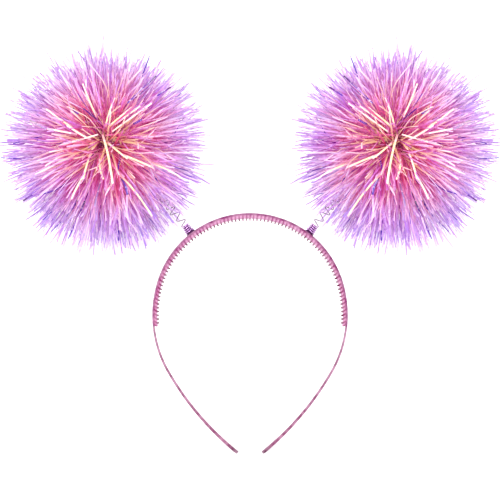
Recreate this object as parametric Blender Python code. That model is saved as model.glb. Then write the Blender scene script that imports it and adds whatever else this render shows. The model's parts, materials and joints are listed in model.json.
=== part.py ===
"""Pompom headband: a plastic comb headband with two tinsel pompoms on wire springs, lying down.

The pieces are modelled in the plane of the hoop (X to the wearer's side, Y up to the crown,
Z out of the hoop's front) and an empty then lays them on the floor, where the object rests on
its two pompoms and the two ends of the band.
"""

import math
import random

import bmesh
import bpy
from mathutils import Matrix, Vector

# Hoop, seen from the front: tangent arcs of the outer line, from the crown down to one end
CROWN_RADIUS = 0.06066
CROWN_SWEEP = math.radians(73.74)
TEMPLE_RADIUS = 0.07199
TEMPLE_SWEEP = math.radians(46.01)
ARM_RADIUS = 0.18210
ARM_SWEEP = math.radians(21.19)

# Band: a shallow channel under the comb, a plain strip along the arms
BAND_WIDTH = 0.0070
BAND_THICKNESS = 0.0015
ARM_THICKNESS = 0.00135
END_WIDTH = 0.0050
END_THICKNESS = 0.0020
END_ROUND = 0.0025
ARM_STEPS = 12
FLANGE_DEPTH = 0.0033
FLANGE_WALL = 0.0009
FLANGE_SLOPE = 0.0003
FLANGE_END = 0.0012

# Comb: two rows of teeth, one under each flange
COMB_REACH = 0.1032
TOOTH_PITCH = 0.002457
TOOTH_WIDTH = 0.0011
TOOTH_LENGTH = 0.0009
TOOTH_TIP_SHARE = 0.55
TOOTH_SLANT = math.radians(35)
TOOTH_SLANT_POWER = 1.7

# Spring posts, moulded on the outside of the crown
POST_TURN = math.radians(37.5)
FOOT_RADIUS = 0.00295
FOOT_HEIGHT = 0.00075
POST_HEIGHT = 0.0041
POST_ROOT = 0.0006
POST_SIDES = 12

# Springs: a tight stack round the post, then an open coil that bends to the pompom's heart
CLEARANCE = 0.0003
WIRE_RADIUS = 0.00032
COIL_RADIUS = 0.00245
STACK_BASE_SHARE = 1.05
STACK_TOP_SHARE = 0.86
STACK_TURNS = 4
STACK_PITCH = 0.00125
STACK_POINTS = 10
OPEN_PITCH = 0.0032
INNER_PITCH = 0.0050
OPEN_POINTS = 8
SPRING_REACH = 0.0748
SPRING_LEAN = math.radians(43.7)

# Pompoms: a dense head covered in pointed locks, round a heart that lies a little off centre
POMPOM_RADIUS = 0.0650
LOCK_SHORTEST_SHARE = 0.87
LOCK_ROOT_SHARE = 0.57
LOCK_ROOT_SPREAD = 0.035
LOCK_LEAN_SHARE = 0.045
LOCK_ROWS = 9
PARTING_ANGLE = math.radians(43)
PARTING_ROOT_CUT = 0.40
PARTING_TIP_CUT = 0.20
HEART_INWARD = 0.0016
HEART_UP = 0.0047
HEART_RADIUS = 0.0030
CHANNEL_SIDES = 10
CHANNEL_STEPS = 8
LOCK_SEED = 11

# Rest: the steepest lay that is searched for
LAY_LIMIT = math.radians(60)
LAY_ROUNDS = 40

HOOP_ARCS = (
    (CROWN_RADIUS, CROWN_SWEEP),
    (TEMPLE_RADIUS, TEMPLE_SWEEP),
    (ARM_RADIUS, ARM_SWEEP),
)
FRONT = Vector((0.0, 0.0, 1.0))


def remove_everything():
    for item in list(bpy.data.objects):
        bpy.data.objects.remove(item, do_unlink=True)


def new_collection(name):
    group = bpy.data.collections.new(name)
    bpy.context.scene.collection.children.link(group)
    return group


def make_material(name, colour, roughness, metallic=0.0):
    material = bpy.data.materials.new(name)
    material.use_nodes = True
    shader = material.node_tree.nodes["Principled BSDF"]
    shader.inputs["Base Color"].default_value = (*colour, 1.0)
    shader.inputs["Roughness"].default_value = roughness
    shader.inputs["Metallic"].default_value = metallic
    material.diffuse_color = (*colour, 1.0)
    return material


def add_object(name, mesh, group):
    item = bpy.data.objects.new(name, mesh)
    group.objects.link(item)
    return item


def bake(item):
    """Turn an object's modifiers, or a curve, into a plain mesh of its own."""
    graph = bpy.context.evaluated_depsgraph_get()
    mesh = bpy.data.meshes.new_from_object(item.evaluated_get(graph))
    shape = bmesh.new()
    shape.from_mesh(mesh)
    bmesh.ops.remove_doubles(shape, verts=shape.verts, dist=1e-6)
    bmesh.ops.recalc_face_normals(shape, faces=shape.faces)
    shape.to_mesh(mesh)
    shape.free()
    solid = add_object(item.name + "_solid", mesh, item.users_collection[0])
    name = item.name
    bpy.data.objects.remove(item, do_unlink=True)
    solid.name = name
    mesh.name = name
    return solid


def boolean(item, tool, operation):
    tool.hide_render = True
    tool.display_type = "WIRE"
    cut = item.modifiers.new(tool.name, "BOOLEAN")
    cut.operation = operation
    cut.solver = "EXACT"
    cut.object = tool


def outline_at(reach):
    """Point, outward normal and turn of the hoop's outer line, at a length from the crown."""
    side = -1.0 if reach < 0 else 1.0
    left = abs(reach)
    turn = 0.0
    across = 0.0
    up = 0.0
    for radius, sweep in HOOP_ARCS:
        step = min(left / radius, sweep)
        across += radius * (math.sin(turn + step) - math.sin(turn))
        up += radius * (math.cos(turn + step) - math.cos(turn))
        turn += step
        left -= radius * step
    place = Vector((side * across, up, 0.0))
    normal = Vector((side * math.sin(turn), math.cos(turn), 0.0))
    return place, normal, turn


def hoop_length():
    return sum(radius * sweep for radius, sweep in HOOP_ARCS)


def tooth_places():
    count = int(COMB_REACH / TOOTH_PITCH + 0.5)
    return [index * TOOTH_PITCH for index in range(-count, count + 1)]


def flange_end():
    return tooth_places()[-1] + TOOTH_WIDTH / 2 + FLANGE_END


def band_stations():
    """Lengths from the crown of every section of the band, one end to the other."""
    comb = []
    for place in tooth_places():
        comb.extend((place - TOOTH_WIDTH / 2, place + TOOTH_WIDTH / 2))
    start = flange_end() + FLANGE_END
    straight_end = hoop_length() - END_ROUND
    arm = [flange_end()]
    arm.extend(start + (straight_end - start) * step / ARM_STEPS for step in range(ARM_STEPS + 1))
    arm.extend(straight_end + END_ROUND * share for share in (0.5, 0.83, 0.97))
    return [-place for place in reversed(arm)] + comb + arm


def band_section(reach):
    """Corners of the band's section as (width, depth) pairs: a channel that opens inwards."""
    start = flange_end() + FLANGE_END
    along = max(0.0, (abs(reach) - start) / (hoop_length() - start))
    width = BAND_WIDTH + (END_WIDTH - BAND_WIDTH) * along
    thickness = ARM_THICKNESS + (END_THICKNESS - ARM_THICKNESS) * along
    flange = thickness
    if abs(reach) < start:
        thickness = BAND_THICKNESS
        flange = FLANGE_DEPTH
    past = max(0.0, (abs(reach) - hoop_length() + END_ROUND) / END_ROUND)
    width *= math.sqrt(1.0 - past * past)
    half = width / 2
    wall = min(FLANGE_WALL, half * 0.3)
    floor = half - wall - min(FLANGE_SLOPE, half * 0.1)
    return (
        (-half, 0.0),
        (half, 0.0),
        (half, flange),
        (half - wall, flange),
        (floor, thickness),
        (-floor, thickness),
        (-half + wall, flange),
        (-half, flange),
    )


def loft(shape, rings):
    """Skin a row of closed rings, close both ends, and return the faces by span and side."""
    spans = []
    for ring, after in zip(rings, rings[1:]):
        faces = []
        for index in range(len(ring)):
            following = (index + 1) % len(ring)
            corners = (ring[index], ring[following], after[following], after[index])
            faces.append(shape.faces.new(corners))
        spans.append(faces)
    shape.faces.new(list(reversed(rings[0])))
    shape.faces.new(rings[-1])
    return spans


def raise_tooth(shape, face, place):
    """Draw one tooth out of the foot of a flange, slanted down along the hoop's sides."""
    normal, turn = outline_at(place)[1:]
    side = -1.0 if place < 0 else 1.0
    down = Vector((side * math.cos(turn), -math.sin(turn), 0.0))
    slant = TOOTH_SLANT * (turn / (math.pi / 2)) ** TOOTH_SLANT_POWER
    way = down * math.sin(slant) - normal * math.cos(slant)
    tip = bmesh.ops.extrude_discrete_faces(shape, faces=[face])["faces"][0]
    middle = tip.calc_center_median()
    for corner in tip.verts:
        corner.co = middle + (corner.co - middle) * TOOTH_TIP_SHARE + way * TOOTH_LENGTH


def make_strip(group):
    """The band with both rows of teeth, as one skin."""
    shape = bmesh.new()
    rings = []
    stations = band_stations()
    for reach in stations:
        place, normal = outline_at(reach)[:2]
        corners = [place - normal * depth + FRONT * width for width, depth in band_section(reach)]
        rings.append([shape.verts.new(corner) for corner in corners])
    spans = loft(shape, rings)
    bmesh.ops.recalc_face_normals(shape, faces=shape.faces)
    teeth = tooth_places()
    for reach, after, faces in zip(stations, stations[1:], spans):
        middle = (reach + after) / 2
        if after - reach < TOOTH_WIDTH * 1.01 and abs(middle) < teeth[-1] + TOOTH_WIDTH / 2:
            raise_tooth(shape, faces[2], middle)
            raise_tooth(shape, faces[6], middle)
    mesh = bpy.data.meshes.new("headband")
    shape.to_mesh(mesh)
    shape.free()
    return add_object("headband", mesh, group)


def post_frame(side):
    """Where a spring post stands on the crown, and its axis."""
    place, axis = outline_at(side * POST_TURN * CROWN_RADIUS)[:2]
    return place, axis


def inner_reach(share, points):
    """Distance from a coil's axis to the wire's near side, at the middle of its chords."""
    return COIL_RADIUS * share * math.cos(math.pi / points) - WIRE_RADIUS


def add_cone(name, place, axis, heights, radii, group):
    shape = bmesh.new()
    bmesh.ops.create_cone(
        shape,
        cap_ends=True,
        segments=POST_SIDES,
        radius1=radii[0],
        radius2=radii[1],
        depth=heights[1] - heights[0],
    )
    turn = Vector((0, 0, 1)).rotation_difference(axis).to_matrix().to_4x4()
    middle = place + axis * (heights[0] + heights[1]) / 2
    bmesh.ops.transform(shape, matrix=Matrix.Translation(middle) @ turn, verts=shape.verts)
    mesh = bpy.data.meshes.new(name)
    shape.to_mesh(mesh)
    shape.free()
    return add_object(name, mesh, group)


def make_headband(group, tools):
    strip = make_strip(group)
    base = inner_reach(STACK_BASE_SHARE, STACK_POINTS) - CLEARANCE
    top = inner_reach(STACK_TOP_SHARE, STACK_POINTS) - CLEARANCE
    for side, word in ((-1, "left"), (1, "right")):
        place, axis = post_frame(side)
        foot_span = (-POST_ROOT, FOOT_HEIGHT)
        foot = add_cone(word + "_foot", place, axis, foot_span, (FOOT_RADIUS, FOOT_RADIUS), tools)
        boolean(strip, foot, "UNION")
        post_span = (-POST_ROOT / 2, POST_HEIGHT)
        post = add_cone(word + "_post", place, axis, post_span, (base, top), tools)
        boolean(strip, post, "UNION")
    return bake(strip)


def pompom_centre():
    lean = Vector((math.cos(SPRING_LEAN), math.sin(SPRING_LEAN), 0.0))
    return post_frame(1)[0] + lean * SPRING_REACH


def spring_route(share):
    """Point and heading of the right spring's axis, from the band (0) to the heart (1)."""
    start, axis = post_frame(1)
    end = pompom_centre() + Vector((-HEART_INWARD, HEART_UP, 0.0))
    bend = start + axis * (end - start).length / 2
    point = start * (1 - share) ** 2 + bend * 2 * share * (1 - share) + end * share ** 2
    heading = (bend - start) * (1 - share) + (end - bend) * share
    return point, heading.normalized()


def route_length():
    steps = 64
    points = [spring_route(step / steps)[0] for step in range(steps + 1)]
    return sum((after - point).length for point, after in zip(points, points[1:]))


def stack_start():
    return FOOT_HEIGHT + CLEARANCE + WIRE_RADIUS


def coil_points():
    """Centre line of the wire: the tight stack first, then the open coil into the pompom."""
    total = route_length()
    along = stack_start()
    stack_top = along + STACK_TURNS * STACK_PITCH
    inside = (pompom_centre() - post_frame(1)[0]).length - POMPOM_RADIUS
    phase = 0.0
    points = []
    while along < total - HEART_RADIUS:
        tight = min(1.0, max(0.0, (stack_top - along) / (stack_top - stack_start())))
        open_share = min(1.0, max(0.0, (along - stack_top) / OPEN_PITCH))
        share = STACK_TOP_SHARE + (STACK_BASE_SHARE - STACK_TOP_SHARE) * tight
        share += (1.0 - STACK_TOP_SHARE) * open_share
        deep = min(1.0, max(0.0, (along - inside) / inside))
        pitch = OPEN_PITCH + (INNER_PITCH - OPEN_PITCH) * deep
        count = OPEN_POINTS
        if along < stack_top:
            pitch = STACK_PITCH
            count = STACK_POINTS
        point, heading = spring_route(along / total)
        sideways = heading.cross(FRONT)
        radius = COIL_RADIUS * share
        points.append(point + (sideways * math.cos(phase) + FRONT * math.sin(phase)) * radius)
        phase += 2 * math.pi / count
        along += pitch / count
    return points


def add_tube(name, points, radius, resolution, group):
    curve = bpy.data.curves.new(name, "CURVE")
    curve.dimensions = "3D"
    curve.bevel_depth = radius
    curve.bevel_resolution = resolution
    curve.use_fill_caps = True
    line = curve.splines.new("POLY")
    line.points.add(len(points) - 1)
    for knot, point in zip(line.points, points):
        knot.co = (*point, 1.0)
    return bake(add_object(name, curve, group))


def make_spring(group):
    return add_tube("right_spring", coil_points(), WIRE_RADIUS, 0, group)


def make_channel(tools):
    """Cutter for the spring's way into the pompom, the coil's outside with its clearance."""
    radius = COIL_RADIUS + WIRE_RADIUS + CLEARANCE
    radius /= math.cos(math.pi / CHANNEL_SIDES)
    total = route_length()
    first = FOOT_HEIGHT / total
    last = 1.0 - (HEART_RADIUS - WIRE_RADIUS - CLEARANCE) / total
    spans = [first + (last - first) * step / CHANNEL_STEPS for step in range(CHANNEL_STEPS + 1)]
    ring = bmesh.new()
    rings = []
    for share in spans:
        point, heading = spring_route(share)
        sideways = heading.cross(FRONT)
        corners = []
        for index in range(CHANNEL_SIDES):
            angle = 2 * math.pi * index / CHANNEL_SIDES
            way = sideways * math.cos(angle) + FRONT * math.sin(angle)
            corners.append(ring.verts.new(point + way * radius))
        rings.append(corners)
    loft(ring, rings)
    bmesh.ops.recalc_face_normals(ring, faces=ring.faces)
    mesh = bpy.data.meshes.new("spring_channel")
    ring.to_mesh(mesh)
    ring.free()
    return add_object("spring_channel", mesh, tools)


def parting_depth(way):
    """How far a heading lies in the parting of the ball's front, 0 at its rim to 1."""
    share = max(0.0, 1.0 - way.angle(Vector((0.0, 0.0, 1.0))) / PARTING_ANGLE)
    return share * share * (3.0 - 2.0 * share)


def make_pompom(group, tools):
    """A ball of pointed locks that part at its front, cut for its spring."""
    dice = random.Random(LOCK_SEED)
    shape = bmesh.new()
    bmesh.ops.create_cube(shape, size=2.0)
    bmesh.ops.subdivide_edges(
        shape, edges=shape.edges, cuts=LOCK_ROWS - 1, use_grid_fill=True
    )
    for vert in shape.verts:
        even = Vector(math.tan(value * math.pi / 4) for value in vert.co)
        vert.co = even.normalized()
    tips = bmesh.ops.poke(shape, faces=shape.faces)["verts"]
    peaks = set(tips)
    for vert in shape.verts:
        way = vert.co.normalized()
        depth = parting_depth(way)
        reach = LOCK_ROOT_SHARE + dice.uniform(-LOCK_ROOT_SPREAD, LOCK_ROOT_SPREAD)
        reach *= 1.0 - PARTING_ROOT_CUT * depth
        if vert in peaks:
            reach = dice.uniform(LOCK_SHORTEST_SHARE, 1.0) * (1.0 - PARTING_TIP_CUT * depth)
            lean = Vector(dice.uniform(-1.0, 1.0) for _ in range(3))
            way = (way + lean * LOCK_LEAN_SHARE).normalized()
        vert.co = way * reach * POMPOM_RADIUS
    bmesh.ops.translate(shape, vec=pompom_centre(), verts=shape.verts)
    mesh = bpy.data.meshes.new("right_pompom")
    shape.to_mesh(mesh)
    shape.free()
    ball = add_object("right_pompom", mesh, group)
    boolean(ball, make_channel(tools), "DIFFERENCE")
    return bake(ball)


def mirror_copy(item, name, group):
    """The same piece for the other side, its faces turned to point out again."""
    mesh = item.data.copy()
    mesh.name = name
    mesh.transform(Matrix.Scale(-1.0, 4, Vector((1.0, 0.0, 0.0))))
    mesh.flip_normals()
    return add_object(name, mesh, group)


def lowest(points, lay):
    return min(point.y * math.sin(lay) + point.z * math.cos(lay) for point in points)


def find_lay(band, ball):
    """Lay angle at which the band's ends and the pompoms touch one floor."""
    band_points = [vert.co for vert in band.data.vertices]
    ball_points = [vert.co for vert in ball.data.vertices]
    flat = 0.0
    steep = LAY_LIMIT
    for _ in range(LAY_ROUNDS):
        lay = (flat + steep) / 2
        if lowest(ball_points, lay) < lowest(band_points, lay):
            flat = lay
        else:
            steep = lay
    return (flat + steep) / 2


def lay_down(pieces, band, ball, group):
    """Turn the pieces about X and set them on the floor, centred on the origin."""
    lay = find_lay(band, ball)
    turn = Matrix.Rotation(lay, 4, "X")
    placed = [turn @ vert.co for piece in pieces for vert in piece.data.vertices]
    back = min(point.y for point in placed)
    front = max(point.y for point in placed)
    base = bpy.data.objects.new("lay", None)
    group.objects.link(base)
    base.rotation_euler = (lay, 0.0, 0.0)
    base.location = (0.0, -(back + front) / 2, -min(point.z for point in placed))
    for piece in pieces:
        piece.parent = base


def finish(pieces, material, smooth):
    for piece in pieces:
        piece.data.materials.clear()
        piece.data.materials.append(material)
        if smooth:
            piece.data.shade_smooth()
            piece.data.set_sharp_from_angle(angle=math.radians(40))


def main():
    remove_everything()
    group = new_collection("pompom_headband")
    tools = new_collection("cutters")
    headband = make_headband(group, tools)
    right_spring = make_spring(group)
    right_pompom = make_pompom(group, tools)
    left_spring = mirror_copy(right_spring, "left_spring", group)
    left_pompom = mirror_copy(right_pompom, "left_pompom", group)
    pieces = [headband, left_spring, right_spring, left_pompom, right_pompom]
    finish([headband], make_material("pink_plastic", (0.71, 0.22, 0.42), 0.35), False)
    springs = [left_spring, right_spring]
    finish(springs, make_material("lilac_wire", (0.50, 0.42, 0.60), 0.25, 1.0), True)
    pompoms = [left_pompom, right_pompom]
    finish(pompoms, make_material("iridescent_tinsel", (0.80, 0.33, 0.70), 0.20), False)
    lay_down(pieces, headband, right_pompom, group)


main()
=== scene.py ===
"""Looks of the pompom headband: a comb headband with two tinsel pompoms on wire springs.

Each piece is made in the hoop's own coordinates, u across, v up to the crown and w towards the
front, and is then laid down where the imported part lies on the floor.
"""

import json
import logging
import math
from collections.abc import Callable, Iterator
from contextlib import contextmanager
from dataclasses import dataclass, field
from enum import Enum, IntEnum

import bmesh
import bpy
import numpy as np
from mathutils import Matrix, Vector


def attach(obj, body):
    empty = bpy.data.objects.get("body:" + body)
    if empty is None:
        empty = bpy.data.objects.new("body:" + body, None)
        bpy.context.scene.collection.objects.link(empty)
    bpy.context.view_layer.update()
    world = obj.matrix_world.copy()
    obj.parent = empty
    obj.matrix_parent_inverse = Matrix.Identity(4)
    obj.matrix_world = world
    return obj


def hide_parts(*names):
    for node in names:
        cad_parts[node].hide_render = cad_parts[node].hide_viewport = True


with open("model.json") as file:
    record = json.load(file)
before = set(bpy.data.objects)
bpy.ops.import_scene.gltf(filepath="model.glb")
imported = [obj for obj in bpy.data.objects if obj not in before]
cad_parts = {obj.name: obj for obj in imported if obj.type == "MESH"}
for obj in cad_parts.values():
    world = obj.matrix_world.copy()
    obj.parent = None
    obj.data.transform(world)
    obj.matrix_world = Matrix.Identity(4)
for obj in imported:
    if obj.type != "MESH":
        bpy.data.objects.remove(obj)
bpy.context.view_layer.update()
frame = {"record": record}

log = logging.getLogger("pompom_headband")

Colour = tuple[float, float, float]
STUDIO_LIGHT = 2.85  # how much brighter than its paint the light shows a surface
GLOSS_VEIL = 0.10  # what the gloss adds to every colour
TINY = 1e-6  # how far from its place a point is still picked, in metres


class Side(Enum):
    """The two sides of the hoop, by the sign of u."""

    LEFT = -1
    RIGHT = 1

    @property
    def word(self) -> str:
        """Name of the side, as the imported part's nodes begin."""
        return self.name.lower()


class Film(IntEnum):
    """The colour families of the tinsel film."""

    ORCHID = 0
    CORAL = 1
    CREAM = 2
    INDIGO = 3


def srgb(*levels: int) -> Colour:
    """Turn red, green and blue as a screen shows them, 0 to 255, into linear values."""
    shares = (level / 255.0 for level in levels)
    return tuple(s / 12.92 if s <= 0.04045 else ((s + 0.055) / 1.055) ** 2.4 for s in shares)


def shown(*levels: int) -> Colour:
    """Find the paint that the studio's strong light shows as a colour, 0 to 255."""
    return tuple(max(0.0, value - GLOSS_VEIL) / STUDIO_LIGHT for value in srgb(*levels))


class Socket:
    """A shader output that takes part in Python sums."""

    def __init__(self, kit: "NodeKit", output: bpy.types.NodeSocket) -> None:
        self.kit = kit
        self.output = output

    def math(self, operation: str, *others: "Socket | float") -> "Socket":
        """Add a Math node with this socket first."""
        return self.kit.maths(operation, self, *others)

    def __add__(self, other: "Socket | float") -> "Socket":
        """Sum."""
        return self.math("ADD", other)

    __radd__ = __add__

    def __sub__(self, other: "Socket | float") -> "Socket":
        """Difference."""
        return self.math("SUBTRACT", other)

    def __rsub__(self, other: float) -> "Socket":
        """Difference from a number."""
        return self.kit.maths("SUBTRACT", other, self)

    def __mul__(self, other: "Socket | float") -> "Socket":
        """Product."""
        return self.math("MULTIPLY", other)

    __rmul__ = __mul__

    def __truediv__(self, other: "Socket | float") -> "Socket":
        """Quotient."""
        return self.math("DIVIDE", other)

    def __rtruediv__(self, other: float) -> "Socket":
        """Quotient of a number."""
        return self.kit.maths("DIVIDE", other, self)

    def __gt__(self, other: "Socket | float") -> "Socket":
        """1 where this is greater."""
        return self.math("GREATER_THAN", other)

    def __lt__(self, other: "Socket | float") -> "Socket":
        """1 where this is less."""
        return self.math("LESS_THAN", other)

    def __abs__(self) -> "Socket":
        """Size without its sign."""
        return self.math("ABSOLUTE")


Stops = tuple[tuple[float, Colour], ...]


class NodeKit:
    """Builds one material's nodes."""

    def __init__(self, name: str) -> None:
        """Start a material with an empty tree.

        Args:
            name: The material's name.
        """
        self.material = bpy.data.materials.new(name)
        self.material.use_nodes = True
        self.tree = self.material.node_tree
        self.tree.nodes.clear()

    def node(
        self,
        kind: str,
        settings: dict[str, object] | None = None,
        inputs: "dict[str | int, object] | tuple | None" = None,
    ) -> bpy.types.Node:
        """Add a node, its settings first and then the values or links of its sockets.

        Args:
            kind: The node's type.
            settings: The node's own properties; "stops" fills a ramp.
            inputs: Values or Sockets by input name or number, or in order.

        Returns:
            The node.
        """
        made = self.tree.nodes.new(kind)
        for key, value in (settings or {}).items():
            if key != "stops":
                setattr(made, key, value)
                continue
            elements = made.color_ramp.elements
            while len(elements) < len(value):
                elements.new(1.0)
            for element, (position, colour) in zip(elements, value):
                element.position, element.color = position, (*colour, 1.0)
        pairs = enumerate(inputs) if isinstance(inputs, tuple) else (inputs or {}).items()
        for key, value in pairs:
            socket = made.inputs[key]
            if isinstance(value, Socket):
                self.tree.links.new(value.output, socket)
            elif isinstance(value, tuple) and socket.type == "RGBA":
                socket.default_value = (*value, 1.0)
            else:
                socket.default_value = value
        return made

    def value(
        self,
        kind: str,
        settings: dict[str, object] | None = None,
        inputs: "dict[str | int, object] | tuple | None" = None,
        output: str | int = 0,
    ) -> Socket:
        """Add a node and take one of its outputs, by name or number."""
        return Socket(self, self.node(kind, settings, inputs).outputs[output])

    def maths(self, operation: str, *values: Socket | float) -> Socket:
        """Add a Math node."""
        return self.value("ShaderNodeMath", {"operation": operation}, values)

    def attribute(self, name: str, output: str = "Fac") -> Socket:
        """Read one of the piece's own attributes."""
        return self.value("ShaderNodeAttribute", {"attribute_name": name}, None, output)

    def place(self) -> Socket:
        """Read the object's own coordinates."""
        return self.value("ShaderNodeTexCoord", None, None, "Object")

    def ramp(self, place: Socket, stops: Stops) -> Socket:
        """Look a colour up along a ramp."""
        return self.value("ShaderNodeValToRGB", {"stops": stops}, {"Fac": place}, "Color")

    def mix(
        self,
        share: Socket | float,
        first: Socket | Colour,
        second: Socket | Colour,
        blend: str = "MIX",
    ) -> Socket:
        """Mix two colours, 0 for the first and 1 for the second."""
        settings = {"data_type": "RGBA", "blend_type": blend}
        return self.value("ShaderNodeMix", settings, {0: share, 6: first, 7: second}, 2)

    def smooth(self, value: Socket, low: float, high: float) -> Socket:
        """Rise smoothly from 0 at low to 1 at high."""
        settings = {"interpolation_type": "SMOOTHSTEP"}
        return self.value("ShaderNodeMapRange", settings, {0: value, 1: low, 2: high})

    def noise(self, vector: Socket, scale: float, detail: float = 2.0) -> Socket:
        """Spread soft random values about 0.5, with so many spots a metre."""
        inputs = {"Vector": vector, "Scale": scale, "Detail": detail}
        return self.value("ShaderNodeTexNoise", None, inputs)

    def bump(self, height: Socket, strength: float, distance: float) -> Socket:
        """Turn heights of 0 to 1 into a normal, 1 being the distance in metres."""
        inputs = {"Strength": strength, "Distance": distance, "Height": height}
        return self.value("ShaderNodeBump", None, inputs)

    def surface(self, shader: Socket) -> bpy.types.Material:
        """Send a shader to the material's output."""
        self.node("ShaderNodeOutputMaterial", None, {"Surface": shader})
        return self.material

    def plain_surface(self, inputs: dict[str, object]) -> bpy.types.Material:
        """Finish the material with one Principled shader."""
        return self.surface(self.value("ShaderNodeBsdfPrincipled", None, inputs))


@dataclass(frozen=True)
class TinselFinish:
    """Iridescent film: dark crimson at the heart as painted shade, hot pink further out, sheer
    lilac tips, with painted highlights, shade and glow.
    """

    name: str = "tinsel_film"
    roughness: float = 0.24
    glow_through: float = 0.45
    # strength of the painted glow
    glow: float = 0.24
    flicker_scale: tuple[float, float] = (211.0, 5.0)  # from strip to strip, and along a strip
    glint_scale: tuple[float, float] = (631.0, 24.0)
    moods: float = 97.0
    drift: tuple[float, float] = (0.16, 0.14)  # along the ramp, by flicker and from strip to strip
    gleams: tuple[float, float, float] = (0.40, 0.36, 0.55)  # painted highlights, by flicker, mood and glint
    shades: tuple[float, float] = (0.36, 0.45)  # painted shade, by flicker and glint
    most_light: float = 0.9
    patch_scale: float = 46.0
    patch_strength: float = 0.6
    tint_strength: float = 0.52
    # colours along tone, whose dark first stops are painted shade where the strips crowd at the
    # heart
    orchid: Stops = (
        (0.00, srgb(70, 0, 76)),
        (0.10, srgb(140, 30, 124)),
        (0.20, srgb(211, 113, 188)),
        (0.32, srgb(224, 155, 214)),
        (0.45, srgb(226, 177, 229)),
        (0.60, srgb(226, 209, 234)),
        (0.75, srgb(216, 208, 232)),
        (0.90, srgb(194, 183, 222)),
        (1.00, srgb(194, 170, 226)),
    )
    coral: Stops = (
        (0.00, srgb(90, 0, 62)),
        (0.10, srgb(172, 34, 106)),
        (0.20, srgb(235, 115, 172)),
        (0.32, srgb(238, 151, 192)),
        (0.45, srgb(236, 166, 208)),
        (0.60, srgb(232, 194, 220)),
        (0.75, srgb(222, 205, 228)),
        (0.90, srgb(202, 183, 222)),
        (1.00, srgb(212, 198, 234)),
    )
    # cream strips: the film's pale colour, partly painted highlight on strips facing the front
    cream: Stops = (
        (0.00, srgb(186, 60, 116)),
        (0.08, srgb(236, 176, 178)),
        (0.18, srgb(250, 234, 190)),
        (0.34, srgb(250, 231, 198)),
        (0.50, srgb(251, 230, 218)),
        (0.72, srgb(246, 222, 234)),
        (0.88, srgb(236, 214, 242)),
        (1.00, srgb(226, 208, 242)),
    )
    indigo: Stops = (
        (0.00, srgb(60, 0, 70)),
        (0.30, srgb(110, 20, 150)),
        (0.60, srgb(92, 30, 170)),
        (1.00, srgb(92, 66, 176)),
    )
    # painted glow: colours the film gives off, standing in for light shining through its layers
    glow_ramp: Stops = (
        (0.00, srgb(80, 0, 76)),
        (0.12, srgb(160, 10, 96)),
        (0.24, srgb(210, 24, 122)),
        (0.40, srgb(214, 34, 140)),
        (0.60, srgb(222, 44, 152)),
        (0.80, srgb(198, 60, 160)),
        (1.00, srgb(160, 80, 166)),
    )
    # painted highlight colour, which bright strips, stretches and glints turn to
    pale: Colour = srgb(252, 232, 244)
    # painted shade colours, deep magenta near the heart and violet further out
    shade_colour: Colour = (0.46, 0.07, 0.36)
    outer_shade_colour: Colour = (0.40, 0.18, 0.50)
    warm_patch: Colour = (1.00, 0.64, 0.66)
    cool_patch: Colour = (0.84, 0.56, 1.00)
    # by mood: the first stops darken whole strips as painted shade, the next tint them red,
    # magenta or violet, the last leave them
    inner_tints: Stops = (
        (0.00, (0.50, 0.07, 0.36)),
        (0.11, (0.56, 0.08, 0.38)),
        (0.14, (1.00, 0.34, 0.44)),
        (0.25, (1.00, 0.42, 0.54)),
        (0.28, (0.86, 0.30, 0.90)),
        (0.38, (0.90, 0.38, 0.94)),
        (0.42, (1.00, 1.00, 1.00)),
    )
    outer_tints: Stops = (
        (0.00, (0.36, 0.16, 0.56)),
        (0.11, (0.42, 0.20, 0.60)),
        (0.14, (0.92, 0.50, 0.86)),
        (0.25, (0.92, 0.56, 0.92)),
        (0.28, (0.60, 0.40, 1.00)),
        (0.38, (0.64, 0.46, 1.00)),
        (0.42, (1.00, 1.00, 1.00)),
    )

    def make(self) -> bpy.types.Material:
        """Build the material.

        Returns:
            The material.
        """
        kit = NodeKit(self.name)
        tone = kit.attribute("tone")
        family = kit.attribute("family")
        chance = kit.attribute("chance")
        along = kit.attribute("along")
        flicker, glint = (
            kit.noise(
                kit.value("ShaderNodeCombineXYZ", None, (chance * apart, along * length, family)),
                1.0,
                detail,
            )
            for (apart, length), detail in ((self.flicker_scale, 3.0), (self.glint_scale, 1.0))
        )
        place = tone + (flicker - 0.5) * self.drift[0] + (chance - 0.5) * self.drift[1]
        colour = kit.ramp(place, self.orchid)
        for film, stops in ((0.5, self.coral), (1.5, self.cream), (2.5, self.indigo)):
            colour = kit.mix(family > film, colour, kit.ramp(place, stops))
        mood = (chance * self.moods).math("FRACT")
        # painted highlights: whole strips, stretches of strips and small glints turn pale
        by_flicker, by_mood, by_glint = self.gleams
        light = kit.smooth(flicker, 0.56, 0.70) * by_flicker + (mood > 0.80) * by_mood
        light = (light + kit.smooth(glint, 0.60, 0.72) * by_glint).math("MINIMUM", self.most_light)
        colour = kit.mix(light, colour, self.pale)
        outward = kit.smooth(tone, 0.45, 0.80)
        # painted shade: stretches and flecks of the common strips darken
        by_flicker, by_glint = self.shades
        shade = kit.smooth(flicker, 0.45, 0.31) * by_flicker
        shade = shade + kit.smooth(glint, 0.40, 0.28) * by_glint
        shade_colour = kit.mix(outward, self.shade_colour, self.outer_shade_colour)
        common = family < 1.5
        colour = kit.mix(shade * common, colour, shade_colour, "MULTIPLY")
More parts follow.
